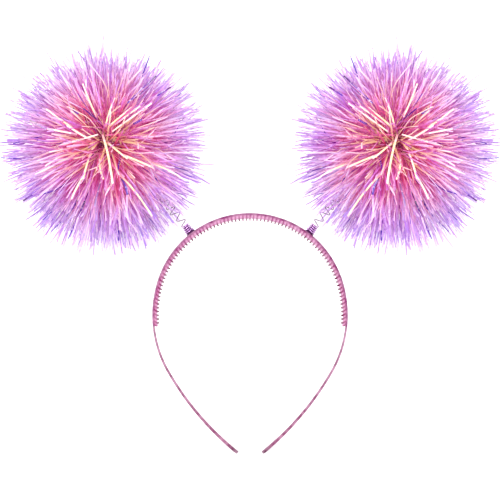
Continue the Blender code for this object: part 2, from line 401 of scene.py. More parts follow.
        # whole strips darkened as painted shade, or tinted, by mood
        tint = kit.mix(outward, kit.ramp(mood, self.inner_tints), kit.ramp(mood, self.outer_tints))
        colour = kit.mix(common * self.tint_strength, colour, tint, "MULTIPLY")
        patch = kit.noise(kit.place(), self.patch_scale, 1.0)
        patched = common * self.patch_strength
        warm = kit.smooth(patch, 0.47, 0.38) * (1.0 - outward) * patched
        cool = kit.smooth(patch, 0.53, 0.62) * patched
        colour = kit.mix(warm, colour, self.warm_patch, "MULTIPLY")
        colour = kit.mix(cool, colour, self.cool_patch, "MULTIPLY")
        inputs = {
            "Base Color": colour,
            "Roughness": self.roughness,
            "IOR": 1.6,
            "Coat Weight": 0.5,
            "Coat Roughness": 0.08,
            # painted glow: emission standing in for light shining through the film
            "Emission Color": kit.mix(family > 1.5, kit.ramp(tone, self.glow_ramp), colour),
            "Emission Strength": self.glow,
        }
        film = kit.value("ShaderNodeBsdfPrincipled", None, inputs)
        through = kit.value("ShaderNodeBsdfTranslucent", None, {"Color": colour})
        shaders = (self.glow_through, film, through)
        return kit.surface(kit.value("ShaderNodeMixShader", None, shaders))


@dataclass(frozen=True)
class BandFinish:
    """Glossy pink moulded plastic, mauve on the rim and pale where light comes through the web,
    with painted shade darkening the teeth's tips and the arms' rounded ends.
    """

    name: str = "band_plastic"
    roughness: float = 0.30
    rim: Colour = shown(170, 84, 144)
    shoulder: Colour = shown(190, 94, 154)
    rib: Stops = (
        (0.00, shown(214, 120, 174)),
        (0.35, shown(192, 84, 156)),
        (0.65, shown(188, 74, 142)),
        (1.00, shown(196, 80, 144)),
    )
    web: Stops = (
        (0.00, shown(255, 176, 226)),
        (0.40, shown(252, 146, 214)),
        (0.65, shown(250, 138, 204)),
        (1.00, shown(246, 132, 198)),
    )
    web_foot: Colour = shown(255, 180, 228)
    # painted shade: the teeth darken towards their tips
    shaded_tip: Colour = shown(146, 62, 114)
    arm_top: Colour = shown(196, 136, 170)
    arm_low: Colour = shown(184, 110, 150)
    # painted shade: the arms' rounded ends darken
    end: Colour = shown(146, 98, 124)
    bloom: Colour = srgb(255, 214, 238)
    rim_fade: tuple[float, float] = (0.0005, 0.0011)  # depths below the outer line, in metres
    shoulder_fade: tuple[float, float] = (0.0011, 0.0017)
    foot_fade: tuple[float, float] = (0.0015, 0.0029)
    shaded_tip_fade: tuple[float, float] = (0.0028, 0.0035)
    rib_fade: tuple[float, float] = (0.42, 0.62)  # shares of a tooth's width from its middle
    shaded_end_fade: float = 0.010

    def make(self, comb: "Comb") -> bpy.types.Material:
        """Build the material.

        Args:
            comb: The comb whose teeth and arms it colours.

        Returns:
            The material.
        """
        kit = NodeKit(self.name)
        strip = kit.attribute("strip", "Vector")
        parts = kit.node("ShaderNodeSeparateXYZ", None, (strip,))
        along, up = (Socket(kit, output) for output in parts.outputs[:2])
        depth = up * -1.0
        reach = abs(along)
        pitch_share = (along / comb.pitch + 0.5).math("FRACT") - 0.5
        inside, outside = (comb.tooth * share for share in self.rib_fade)
        rib = 1.0 - kit.smooth(abs(pitch_share) * comb.pitch, inside, outside)
        down = reach / comb.arm_start
        web = kit.mix(kit.smooth(depth, *self.foot_fade), kit.ramp(down, self.web), self.web_foot)
        low = kit.mix(rib, web, kit.ramp(down, self.rib))
        colour = kit.mix(kit.smooth(depth, *self.rim_fade), self.rim, self.shoulder)
        colour = kit.mix(kit.smooth(depth, *self.shoulder_fade), colour, low)
        # painted shade on the teeth's tips
        colour = kit.mix(kit.smooth(depth, *self.shaded_tip_fade) * rib, colour, self.shaded_tip)
        last = comb.line.length
        arm = kit.mix(kit.smooth(reach, comb.arm_start, last), self.arm_top, self.arm_low)
        # painted shade over the last part of each arm
        arm = kit.mix(kit.smooth(reach, last - self.shaded_end_fade, last), arm, self.end)
        start = kit.smooth(reach, comb.arm_start - 0.0008, comb.arm_start + 0.0006)
        colour = kit.mix(start, colour, arm)
        cloud = kit.noise(strip, 260.0, 3.0)
        colour = kit.mix(kit.smooth(cloud, 0.35, 0.7) * 0.14, colour, self.bloom)
        fine = kit.noise(strip, 2600.0, 2.0)
        inputs = {
            "Base Color": colour,
            "Roughness": kit.smooth(cloud, 0.2, 0.8) * 0.12 + (self.roughness - 0.06),
            "IOR": 1.5,
            "Subsurface Weight": 0.10,
            "Subsurface Radius": (0.0016, 0.0007, 0.0010),
            "Subsurface Scale": 1.0,
            "Specular IOR Level": 0.35,
            "Coat Weight": 0.12,
            "Coat Roughness": 0.15,
            "Normal": kit.bump(fine, 0.25, 0.00003),
        }
        return kit.plain_surface(inputs)


@dataclass(frozen=True)
class WireFinish:
    """Steel wire, lilac-tinted in the stack and grey in the open coil."""

    name: str = "spring_wire"
    bright: Colour = srgb(216, 172, 224)
    dull: Colour = srgb(180, 130, 192)
    grey: Colour = srgb(126, 114, 132)

    def make(self) -> bpy.types.Material:
        """Build the material.

        Returns:
            The material.
        """
        kit = NodeKit(self.name)
        place = kit.place()
        cloud = kit.noise(place, 900.0, 3.0)
        stacked = kit.mix(kit.smooth(cloud, 0.35, 0.65), self.dull, self.bright)
        inputs = {
            "Base Color": kit.mix(kit.attribute("open"), stacked, self.grey),
            "Metallic": 1.0,
            "Roughness": kit.smooth(cloud, 0.7, 0.3) * 0.12 + 0.20,
            "Normal": kit.bump(kit.noise(place, 5200.0, 1.0), 0.2, 0.00002),
        }
        return kit.plain_surface(inputs)


@dataclass(frozen=True)
class SeatShadeFinish:
    """Dark purple painted shade on the plastic of the spring's foot and peg, standing in for the
    shade inside the coil and under it.
    """

    name: str = "seat_painted_shade"
    dark: Colour = (0.030, 0.001, 0.030)
    light: Colour = (0.055, 0.006, 0.060)

    def make(self) -> bpy.types.Material:
        """Build the material.

        Returns:
            The material.
        """
        kit = NodeKit(self.name)
        place = kit.place()
        cloud = kit.noise(place, 700.0, 3.0)
        inputs = {
            "Base Color": kit.mix(kit.smooth(cloud, 0.3, 0.7), self.dark, self.light),
            "Roughness": kit.smooth(cloud, 0.2, 0.8) * 0.15 + 0.45,
            "Specular IOR Level": 0.12,
            "Normal": kit.bump(kit.noise(place, 4200.0, 1.0), 0.2, 0.00003),
        }
        return kit.plain_surface(inputs)


@dataclass(frozen=True)
class FloorFinish:
    """Plain pale floor with hardly any texture."""

    name: str = "pale_floor"
    pale: Colour = (0.93, 0.93, 0.93)
    shade: Colour = (0.90, 0.90, 0.905)

    def make(self) -> bpy.types.Material:
        """Build the material.

        Returns:
            The material.
        """
        kit = NodeKit(self.name)
        place = kit.place()
        cloud = kit.noise(place, 3.0, 2.0)
        inputs = {"Base Color": kit.mix(cloud, self.pale, self.shade), "Roughness": 0.9}
        return kit.plain_surface(inputs)


def activate(item: bpy.types.Object) -> None:
    """Make an object the only one selected.

    Args:
        item: The object.
    """
    bpy.ops.object.select_all(action="DESELECT")
    item.select_set(True)
    bpy.context.view_layer.objects.active = item


def apply_modifiers(item: bpy.types.Object) -> None:
    """Apply all of an object's modifiers in order.

    Args:
        item: The object.
    """
    activate(item)
    for modifier in list(item.modifiers):
        bpy.ops.object.modifier_apply(modifier=modifier.name)


def add_item(name: str, data: bpy.types.ID) -> bpy.types.Object:
    """Put new data on the scene as an object.

    Args:
        name: The object's name.
        data: Its mesh, curve, lamp or lens.

    Returns:
        The object.
    """
    item = bpy.data.objects.new(name, data)
    bpy.context.scene.collection.objects.link(item)
    return item


def round_edges(item: bpy.types.Object, width: float, limit: float, smooth: float) -> None:
    """Round an object's sharp edges, and shade it smooth between those that stay.

    Args:
        item: The object.
        width: Width of the rounding.
        limit: Angle from which an edge is rounded, in degrees.
        smooth: Angle up to which faces are shaded as one, in degrees.
    """
    edges = item.modifiers.new("edges", "BEVEL")
    edges.width = width
    edges.segments = 2
    edges.limit_method = "ANGLE"
    edges.angle_limit = math.radians(limit)
    apply_modifiers(item)
    bpy.ops.object.shade_smooth_by_angle(angle=math.radians(smooth))


def read_points(mesh: bpy.types.Mesh) -> np.ndarray:
    """Read the places of a mesh's points.

    Args:
        mesh: The mesh.

    Returns:
        Rows of three coordinates.
    """
    points = np.empty(len(mesh.vertices) * 3)
    mesh.vertices.foreach_get("co", points)
    return points.reshape(-1, 3)


def set_values(mesh: bpy.types.Mesh, key: str, values: np.ndarray) -> None:
    """Give each of a mesh's points a number."""
    mesh.attributes.new(key, "FLOAT", "POINT").data.foreach_set("value", values)


def unit(rows: np.ndarray) -> np.ndarray:
    """Bring every row to the length of one."""
    return rows / np.linalg.norm(rows, axis=-1, keepdims=True)


def move_points(mesh: bpy.types.Mesh, points: np.ndarray) -> None:
    """Give a mesh's points new places."""
    mesh.vertices.foreach_set("co", points.ravel())
    mesh.update()


class Bench:
    """Edit mode on one object, where points, edges and faces are picked by their place."""

    def __init__(self, item: bpy.types.Object) -> None:
        """Take an object on the bench."""
        self.item = item

    @contextmanager
    def open(self) -> Iterator["Bench"]:
        """Stay in edit mode for a while.

        Yields:
            This bench.
        """
        activate(self.item)
        bpy.ops.object.mode_set(mode="EDIT")
        yield self
        bpy.ops.object.mode_set(mode="OBJECT")

    def pick_faces(self, test: Callable[[Vector, Vector], bool]) -> None:
        """Select the faces that pass a test.

        Args:
            test: Takes a face's middle and its normal.
        """
        bpy.ops.mesh.select_mode(type="FACE")
        bpy.ops.mesh.select_all(action="DESELECT")
        shape = bmesh.from_edit_mesh(self.item.data)
        for face in shape.faces:
            face.select_set(test(face.calc_center_median(), face.normal))
        bmesh.update_edit_mesh(self.item.data)

    def pick_points(self, test: Callable[[Vector], bool], mode: str = "VERT") -> None:
        """Select the points that pass a test, and what lies between them.

        Args:
            test: Takes a point's place.
            mode: VERT or EDGE.
        """
        bpy.ops.mesh.select_mode(type=mode)
        bpy.ops.mesh.select_all(action="DESELECT")
        shape = bmesh.from_edit_mesh(self.item.data)
        if mode == "VERT":
            for vert in shape.verts:
                vert.select_set(test(vert.co))
        else:
            for edge in shape.edges:
                edge.select_set(test(edge.verts[0].co) and test(edge.verts[1].co))
        shape.select_flush_mode()
        bmesh.update_edit_mesh(self.item.data)

    def cut(self, place: Vector, normal: Vector) -> None:
        """Cut every face where a plane passes through it."""
        bpy.ops.mesh.select_all(action="SELECT")
        bpy.ops.mesh.bisect(plane_co=place, plane_no=normal, threshold=1e-7)

    @staticmethod
    def weld(reach: float) -> None:
        """Merge the points that lie within reach of each other, and turn all faces outwards.

        Args:
            reach: How near two points lie to be merged, in metres.
        """
        bpy.ops.mesh.select_all(action="SELECT")
        bpy.ops.mesh.remove_doubles(threshold=reach)
        bpy.ops.mesh.normals_make_consistent(inside=False)

    @staticmethod
    def pull(way: Vector) -> None:
        """Extrude what is selected, so far and that way."""
        bpy.ops.mesh.extrude_region_move(TRANSFORM_OT_translate={"value": way})

    @staticmethod
    def resize(scale: tuple[float, float, float], about: Vector) -> None:
        """Resize what is selected along each axis, about a point that stays."""
        bpy.ops.transform.resize(value=scale, center_override=about)


@dataclass
class Lay:
    """How the hoop's own coordinates lie in the world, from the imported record's mounts."""

    record: dict
    band_thickness: float = 0.0015

    @property
    def matrix(self) -> Matrix:
        """Matrix from the hoop's coordinates to the world."""
        mounts = {mount["name"]: mount for mount in self.record["mounts"]}
        front = Vector(mounts["crown_front_edge"]["axis"]).normalized()
        up = -Vector(mounts["crown_inside"]["axis"]).normalized()
        up = (up - front * up.dot(front)).normalized()
        crown = Vector(mounts["crown_inside"]["pos_m"]) + up * self.band_thickness
        turn = Matrix((up.cross(front), up, front)).transposed().to_4x4()
        return Matrix.Translation(crown) @ turn

    def finish(
        self, item: bpy.types.Object, material: bpy.types.Material, slot: str, *nodes: str
    ) -> None:
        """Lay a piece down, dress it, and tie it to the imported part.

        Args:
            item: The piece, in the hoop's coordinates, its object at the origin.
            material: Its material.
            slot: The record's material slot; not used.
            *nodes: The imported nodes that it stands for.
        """
        item.data.transform(self.matrix)
        item.data.materials.clear()
        item.data.materials.append(material)
        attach(item, "root")
        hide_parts(*nodes)


@dataclass
class HoopLine:
    """The outer line of the hoop, tangent arcs from the crown down to each end."""

    arcs: tuple[tuple[float, float], ...] = (
        (0.06066, math.radians(73.74)),
        (0.07199, math.radians(46.01)),
        (0.18210, math.radians(21.19)),
    )

    @property
    def length(self) -> float:
        """Length from the crown to one end."""
        return sum(radius * sweep for radius, sweep in self.arcs)

    def turn_at(self, reach: np.ndarray) -> tuple[np.ndarray, np.ndarray, np.ndarray]:
        """Follow the line for a length, without regard to side.

        Args:
            reach: Lengths from the crown, not negative.

        Returns:
            Distance across, height below the crown as a negative number, and turn.
        """
        left = np.array(reach, float)
        turn = np.zeros_like(left)
        across = np.zeros_like(left)
        up = np.zeros_like(left)
        for radius, sweep in self.arcs:
            step = np.minimum(left / radius, sweep)
            across += radius * (np.sin(turn + step) - np.sin(turn))
            up += radius * (np.cos(turn + step) - np.cos(turn))
            turn += step
            left -= radius * step
        across += left * np.cos(turn)
        up -= left * np.sin(turn)
        return across, up, turn

    def bend(self, points: np.ndarray) -> np.ndarray:
        """Bend a straight strip round the hoop.

        Args:
            points: Rows of length along the hoop, height over its outer line, and w.

        Returns:
            Rows of u, v and w.
        """
        side = np.where(points[:, 0] < 0, -1.0, 1.0)
        across, up, turn = self.turn_at(np.abs(points[:, 0]))
        out = points[:, 1]
        return np.column_stack(
            (side * (across + np.sin(turn) * out), up + np.cos(turn) * out, points[:, 2])
        )

    def stand(self, side: Side, turn: float) -> tuple[Vector, Vector]:
        """Find a place on the crown's arc.

        Args:
            side: The side it is on.
            turn: Angle from the crown's top.

        Returns:
            The place on the outer line, and the outward normal there.
        """
        radius = self.arcs[0][0]
        normal = Vector((side.value * math.sin(turn), math.cos(turn), 0.0))
        return normal * radius - Vector((0.0, radius, 0.0)), normal


@dataclass
class Comb:
    """The band: a shallow channel with two rows of teeth, plain arms and rounded ends."""

    lay: Lay
    line: HoopLine
    width: float = 0.0070
    thickness: float = 0.0015
    rim: float = 0.0012
    relief: float = 0.00018
    flange: float = 0.0036
    wall: float = 0.0009
    slope: float = 0.0003
    pitch: float = 0.002457
    tooth: float = 0.0011
    tooth_length: float = 0.0013
    neck_share: float = 0.7
    neck: tuple[float, float] = (0.96, 0.92)
    tip_share: float = 0.92
    teeth_each_side: int = 42
    slant: float = math.radians(35)
    slant_power: float = 1.7
    slant_pivot: float = 0.00135
    straight_below: float = 0.0021
    creep: float = 0.00020
    temple_share: float = 0.82
    temple_turn: float = 1.3
    web_end: float = 0.0012
    step_length: float = 0.0012
    step_shares: tuple[float, ...] = (0.0, 0.5, 0.8, 0.95, 1.0)
    arm_thickness: float = 0.00135
    arm_steps: int = 28
    end_width: float = 0.0050
    end_thickness: float = 0.0020
    end_round: float = 0.0025
    round_shares: tuple[float, ...] = (0.35, 0.62, 0.83, 0.95, 0.995)
    edge: float = 0.00016

    @property
    def arm_start(self) -> float:
        """Where the plain arm begins, from the crown."""
        last = self.teeth_each_side * self.pitch + self.tooth / 2
        return last + self.web_end + self.step_length

    def make_unit(self) -> bpy.types.Object:
        """Model one pitch of the straight comb, with its two teeth.

        Returns:
            The unit, with open sides where its neighbours join on.
        """
        face = self.width / 2 - self.relief
        bpy.ops.mesh.primitive_cube_add(
            size=1.0,
            location=(0.0, -self.thickness / 2, 0.0),
            scale=(self.pitch, self.thickness, 2 * face),
        )
        unit = bpy.context.object
        unit.name = "comb"
        bpy.ops.object.transform_apply(location=True, rotation=True, scale=True)
        inner = self.width / 2 - self.wall - self.slope
        with Bench(unit).open() as bench:
            for sign in (-1.0, 1.0):
                bench.cut(Vector((sign * self.tooth / 2, 0, 0)), Vector((1, 0, 0)))
                bench.cut(Vector((0, 0, sign * inner)), Vector((0, 0, 1)))
            bench.cut(Vector((0, -self.rim, 0)), Vector((0, 1, 0)))
            bench.pick_faces(lambda at, way: way.y < -0.9 and abs(at.z) > inner)
            bench.pull(Vector((0.0, self.thickness - self.flange, 0.0)))
            narrow = (face - (self.width / 2 - self.wall)) / (face - inner)
            for sign in (-1.0, 1.0):
                bench.pick_faces(
                    lambda at, way: way.y < -0.9 and at.z * sign > inner
                    and at.y < TINY - self.flange
                )
                bench.resize((1.0, 1.0, narrow), Vector((0.0, 0.0, sign * face)))
            for sign in (-1.0, 1.0):
                self.draw_tooth(bench, sign, face)
            for sign in (-1.0, 1.0):
                bench.pick_faces(
                    lambda at, way: way.z * sign > 0.99
                    and (at.y > -self.rim or abs(at.x) < self.tooth / 2)
                )
                bench.pull(Vector((0.0, 0.0, sign * self.relief)))
            bench.pick_faces(lambda at, way: abs(at.x) > self.pitch / 2 - TINY)
            bpy.ops.mesh.delete(type="FACE")
        return unit

    def draw_tooth(self, bench: Bench, sign: float, face: float) -> None:
        """Draw one tooth out of a flange's foot.

        Args:
            bench: The bench with the unit on it.
            sign: The side of the band, by the sign of w.
            face: Distance of the flange's outer face from the middle.
        """
        half = self.tooth / 2
        bench.pick_faces(
            lambda at, way: way.y < -0.9 and at.y < -self.flange + TINY
            and at.z * sign > 0 and abs(at.x) < half
        )
        bench.pull(Vector((0.0, -self.tooth_length * self.neck_share, 0.0)))
        middle = Vector((0.0, -self.flange, sign * (face - self.wall / 2)))
        wide, deep = self.neck
        bench.resize((wide, 1.0, deep), middle)
        bench.pull(Vector((0.0, -self.tooth_length * (1.0 - self.neck_share), 0.0)))
        bench.resize((self.tip_share / wide, 1.0, self.tip_share / deep), middle)

    def draw_arm(self, bench: Bench, sign: float) -> None:
        """Draw the end of the web, an arm and its rounded end out of the comb's open side.

        Args:
            bench: The bench with the comb on it.
            sign: The side, by the sign of the length along the hoop.
        """
        reach = (self.teeth_each_side + 0.5) * self.pitch
        half = self.width / 2
        thickness = self.arm_thickness
        start = self.arm_start
        straight_end = self.line.length - self.end_round

        def at_loop(at: Vector) -> bool:
            """Tell the points of the open loop."""
            return abs(at.x - sign * reach) < TINY

        def reach_to(target: float) -> None:
            """Extrude the open loop to a new length."""
            nonlocal reach
            bench.pick_points(at_loop, "EDGE")
            bench.pull(Vector((sign * (target - reach), 0.0, 0.0)))
            reach = target

        left = 1.0
        for share in self.step_shares:
            reach_to(start - self.step_length * (1.0 - share))
            lift = max(math.sqrt(1.0 - share * share), 1e-4)
            ratio = lift / left
            bench.pick_points(lambda at: at_loop(at) and at.y < -thickness - TINY / 10)
            bench.resize((1.0, ratio, 1.0), Vector((0.0, -thickness, 0.0)))
            for edge in (-half, half):
                bench.pick_points(lambda at: at_loop(at) and abs(at.z - edge) < self.relief * 1.5)
                bench.resize((1.0, 1.0, ratio), Vector((0.0, 0.0, edge)))
            left = lift
        wide, thick = 1.0, 1.0
        places = [(step / self.arm_steps, 0.0) for step in range(1, self.arm_steps + 1)]
        places += [(1.0, share) for share in self.round_shares]
        for along, past in places:
            target = start + (straight_end - start) * along + self.end_round * past
            reach_to(target)
            share = (reach - start) / (self.line.length - start)
            now_wide = 1.0 + (self.end_width / self.width - 1.0) * share
            now_wide *= math.sqrt(1.0 - past * past)
            now_thick = 1.0 + (self.end_thickness / thickness - 1.0) * share
            bench.pick_points(at_loop)
            bench.resize((1.0, now_thick / thick, now_wide / wide), Vector((0.0, 0.0, 0.0)))
            wide, thick = now_wide, now_thick
        bench.pick_points(at_loop, "EDGE")
        bpy.ops.mesh.edge_face_add()

    def make(self, finish: BandFinish) -> bpy.types.Object:
        """Model the straight band, bend it round the hoop and dress it.

        Args:
            finish: The band's plastic.

        Returns:
            The piece.
        """
        band = self.make_unit()
        row = band.modifiers.new("row", "ARRAY")
        row.count = 2 * self.teeth_each_side + 1
        row.use_relative_offset = False
        row.use_constant_offset = True
        row.constant_offset_displace = (self.pitch, 0.0, 0.0)
        row.use_merge_vertices = True
        row.merge_threshold = 1e-5
        apply_modifiers(band)
        band.data.transform(Matrix.Translation((-self.teeth_each_side * self.pitch, 0.0, 0.0)))
        with Bench(band).open() as bench:
            for sign in (-1.0, 1.0):
                self.draw_arm(bench, sign)
            bench.weld(2 * TINY)
        round_edges(band, self.edge, 35, 38)
        self.wrap(band)
        self.lay.finish(band, finish.make(self), "band_plastic", "headband")
        return band

    def wrap(self, band: bpy.types.Object) -> None:
        """Keep the straight strip's coordinates, slant the teeth, and bend the strip.

        Args:
            band: The straight band.
        """
        points = read_points(band.data)
        strip = band.data.attributes.new("strip", "FLOAT_VECTOR", "POINT")
        strip.data.foreach_set("vector", points.ravel())
        turn = self.line.turn_at(np.abs(points[:, 0]))[2]
        comb_end = self.arm_start - self.step_length
        lean = np.tan(self.slant * np.minimum(turn / (math.pi / 2), 1.2) ** self.slant_power)
        deep = np.maximum(-points[:, 1] - self.rim, 0.0)
        fade = np.clip((comb_end - np.abs(points[:, 0])) / (2 * self.pitch) + 1.0, 0.0, 1.0)
        shorter = (1.0 - self.temple_share) * np.minimum(turn / self.temple_turn, 1.0)
        points[:, 1] += deep * fade * shorter
        below = np.minimum(deep, self.straight_below)
        drift = (below - self.slant_pivot) * lean
        drift -= self.creep * np.minimum(np.abs(points[:, 0]) / self.pitch, 1.0)
        drift *= fade * np.clip(-points[:, 1] / self.rim, 0.0, 1.0)
        points[:, 0] += np.sign(points[:, 0]) * drift
        move_points(band.data, self.line.bend(points))


@dataclass
class Spring:
    """A wire spring: a tight stack round its peg, then an open coil into the pompom."""

    lay: Lay
    line: HoopLine
    side: Side
    turn: float = math.radians(37.5)
    foot_radius: float = 0.00295
    foot_height: float = 0.00065
    post_height: float = 0.0056
    post_base: float = 0.00212
    post_top: float = 0.00148
    wire: float = 0.00030
    coil: float = 0.00250
    gap: float = 0.00005
    base_share: float = 1.12
    top_share: float = 0.86
    stack_turns: float = 4.1
    stack_swell: float = 1.3
    stack_pitch: float = 0.00125
    open_pitch: float = 0.0047
    inner_pitch: float = 0.0054
    flat_start: float = 0.25
    wobble: tuple[tuple[float, float, float], ...] = ((0.10, 0.43, 1.0), (0.07, 1.31, 0.0))
    pitch_wobble: tuple[float, float] = (0.25, 0.37)
    points_a_turn: int = 18
    reach: float = 0.0748
    lean: float = math.radians(43.7)
    ball_radius: float = 0.0650
    heart_offset: tuple[float, float] = (-0.0016, 0.0047)
    heart_radius: float = 0.0030
    post_root: float = 0.0004
    dome: float = 0.0006
    dome_steps: tuple[tuple[float, float], ...] = ((0.45, 0.88), (0.33, 0.62), (0.16, 0.32))
    edge: float = 0.00018

    @property
    def centre(self) -> Vector:
        """Middle of the pompom, in the hoop's coordinates."""
        sign = self.side.value
        way = Vector((sign * math.cos(self.lean), math.sin(self.lean), 0.0))
        return self.line.stand(self.side, self.turn)[0] + way * self.reach

    @property
    def heart(self) -> Vector:
        """Where the strips of the pompom meet and the spring ends."""
        inward, up = self.heart_offset
        return self.centre + Vector((self.side.value * inward, up, 0.0))

    @property
    def stack_top(self) -> float:
        """Height of the tight stack's top over the band."""
        return self.foot_height + self.gap + self.stack_turns * self.stack_pitch

    def route(self, share: float) -> tuple[Vector, Vector]:
        """Follow the coil's axis.

        Args:
            share: 0 at the band, 1 at the heart.

        Returns:
            Place and heading.
        """
        start, axis = self.line.stand(self.side, self.turn)
        end = self.heart
        bend = start + axis * (end - start).length / 2
        place = start * (1 - share) ** 2 + bend * 2 * share * (1 - share) + end * share ** 2
        heading = (bend - start) * (1 - share) + (end - bend) * share
        return place, heading.normalized()

    def coil_points(self) -> list[Vector]:
        """Work out the wire's centre line.

        Returns:
            Its points, from the foot to the heart.
        """
        rule = 64
        steps = [self.route(step / rule)[0] for step in range(rule + 1)]
        total = sum((after - here).length for here, after in zip(steps, steps[1:]))
        start = self.foot_height + self.gap + self.wire
        stack_top = start + self.stack_turns * self.stack_pitch
        inside = self.reach - self.ball_radius
        front = Vector((0.0, 0.0, 1.0))
        along, phase = start, math.pi
        points = []
        while along < total - self.heart_radius:
            tight = min(1.0, max(0.0, (stack_top - along) / (stack_top - start)))
            opened = min(1.0, max(0.0, (along - stack_top) / self.open_pitch))
            share = self.top_share + (self.base_share - self.top_share) * tight
            share += (1.0 - self.top_share) * opened
            sway = sum(size * math.sin(phase * pace + lead) for size, pace, lead in self.wobble)
            share *= 1.0 + sway * opened
            deep = min(1.0, max(0.0, (along - inside) / inside))
            pitch = self.open_pitch + (self.inner_pitch - self.open_pitch) * deep
            size, pace = self.pitch_wobble
            pitch *= 1.0 + size * math.sin(phase * pace) * opened
            if along < stack_top:
                turns = (phase / math.pi - 1.0) / 2
                pitch = self.stack_pitch * min(1.0, self.flat_start + turns)
            place, heading = self.route(along / total)
            sideways = heading.cross(front) * self.side.value
            arm = sideways * math.cos(phase) + front * math.sin(phase)
            points.append(place + arm * self.coil * share)
            phase += 2 * math.pi / self.points_a_turn
            along += pitch / self.points_a_turn
        return points

    def make_wire(self, material: bpy.types.Material) -> bpy.types.Object:
        """Bend the wire.

        Args:
            material: The wire's material.

        Returns:
            The piece.
        """
        curve = bpy.data.curves.new(f"{self.side.word}_wire", "CURVE")
        curve.dimensions = "3D"
        curve.bevel_depth = self.wire
        curve.bevel_resolution = 2
        curve.use_fill_caps = True
        points = self.coil_points()
        line = curve.splines.new("POLY")
        line.points.add(len(points) - 1)
        place, axis = self.line.stand(self.side, self.turn)
        for knot, point in zip(line.points, points):
            knot.co = (*point, 1.0)
            stacked = (point - place).dot(axis) < self.stack_top
            knot.radius = self.stack_swell if stacked else 1.0
        activate(add_item(f"{self.side.word}_wire", curve))
        bpy.ops.object.convert(target="MESH")
        wire = bpy.context.object
        with Bench(wire).open() as bench:
            bench.weld(TINY / 10)
        bpy.ops.object.shade_smooth_by_angle(angle=math.radians(50))
        self.mark_open(wire.data)
        self.lay.finish(wire, material, "spring_wire", f"{self.side.word}_spring")
        return wire

    def mark_open(self, mesh: bpy.types.Mesh) -> None:
        """Mark how far each point of the wire is into the open coil.

        Args:
            mesh: The wire's mesh, in the hoop's coordinates.
        """
        place, axis = self.line.stand(self.side, self.turn)
        heights = [(vert.co - place).dot(axis) - self.stack_top for vert in mesh.vertices]
        values = np.clip(np.array(heights) / self.stack_pitch, 0.0, 1.0)
        set_values(mesh, "open", values)

    def make_seat(self, material: bpy.types.Material) -> bpy.types.Object:
        """Turn the spring's foot and its domed peg from one cylinder.

        Args:
            material: The seat's material, dark painted shade.

        Returns:
            The piece.
        """
        bpy.ops.mesh.primitive_cylinder_add(
            vertices=32,
            radius=self.foot_radius,
            depth=self.foot_height + self.post_root,
            location=(0.0, 0.0, (self.foot_height - self.post_root) / 2),
        )
        seat = bpy.context.object
        seat.name = f"{self.side.word}_seat"
        bpy.ops.object.transform_apply(location=True, rotation=True, scale=True)
        shoulder = self.post_height - self.dome
        with Bench(seat).open() as bench:
            bench.pick_faces(lambda at, way: way.z > 0.9)
            bpy.ops.mesh.inset(thickness=self.foot_radius - self.post_base)
            bench.pull(Vector((0.0, 0.0, shoulder - self.foot_height)))
            top = Vector((0.0, 0.0, shoulder))
            shrink = self.post_top / self.post_base
            bench.resize((shrink, shrink, 1.0), top)
            for rise, share in self.dome_steps:
                bench.pull(Vector((0.0, 0.0, self.dome * rise)))
                wide = share / shrink
                bench.resize((wide, wide, 1.0), top)
                shrink = share
        round_edges(seat, self.edge, 40, 45)
        place, axis = self.line.stand(self.side, self.turn)
        turn = Vector((0, 0, 1)).rotation_difference(axis).to_matrix().to_4x4()
        seat.data.transform(Matrix.Translation(place) @ turn)
        self.lay.finish(seat, material, "band_plastic", "headband")
        return seat


FRONT_STRIPS: dict[Film, tuple[tuple[float, ...], ...]] = {
    Film.CREAM: (
        (-0.4, 3.4, 6.0, -26.6, 1.5),
        (-7.3, -7.7, -12.0, -24.0, 1.2),
        (-11.0, -20.0, -19.3, -36.0, 1.2),
        (-7.3, 0.0, -22.0, 9.0, 1.3),
        (-18.0, 7.0, -34.7, 18.9, 1.1),
        (-15.9, 3.4, -33.9, 6.9, 1.2),
        (1.3, 7.7, 7.3, 25.7, 1.1),
        (3.9, 8.6, 17.6, 19.7, 1.1),
        (7.3, 9.4, 22.7, 20.6, 1.0),
        (5.6, 5.1, 29.6, 22.3, 1.0),
        (3.0, -1.7, 15.0, -11.5, 1.2),
        (12.0, -9.0, 31.3, -17.1, 1.3),
        (9.9, -20.6, 29.6, -46.3, 1.2),
        (-2.1, -8.6, 0.4, -24.0, 1.2),
        (-3.0, 3.4, -26.1, -3.4, 1.1),
        (-3.9, 13.7, -12.4, 34.3, 1.0),
        (30.4, -14.6, 50.0, -24.5, 1.0),
    ),
    Film.INDIGO: (
        (-45.0, 12.0, -34.7, 6.4, 1.1),
        (-11.1, -37.3, -15.9, -48.0, 1.2),
        (32.1, 39.4, 15.0, 22.3, 0.9),
        (41.1, 32.6, 33.0, 27.0, 1.0),
        (18.4, 45.9, 16.3, 41.6, 1.1),
        (-18.4, 19.3, -14.9, 15.8, 1.2),
        (11.4, -23.7, 14.9, -33.3, 1.3),
        (18.4, 9.6, 23.7, 12.3, 1.2),
        (-50.0, -36.8, -43.8, -33.3, 1.1),
    ),
}  # start and end from the heart, as the left ball's front shows them, and width, in mm


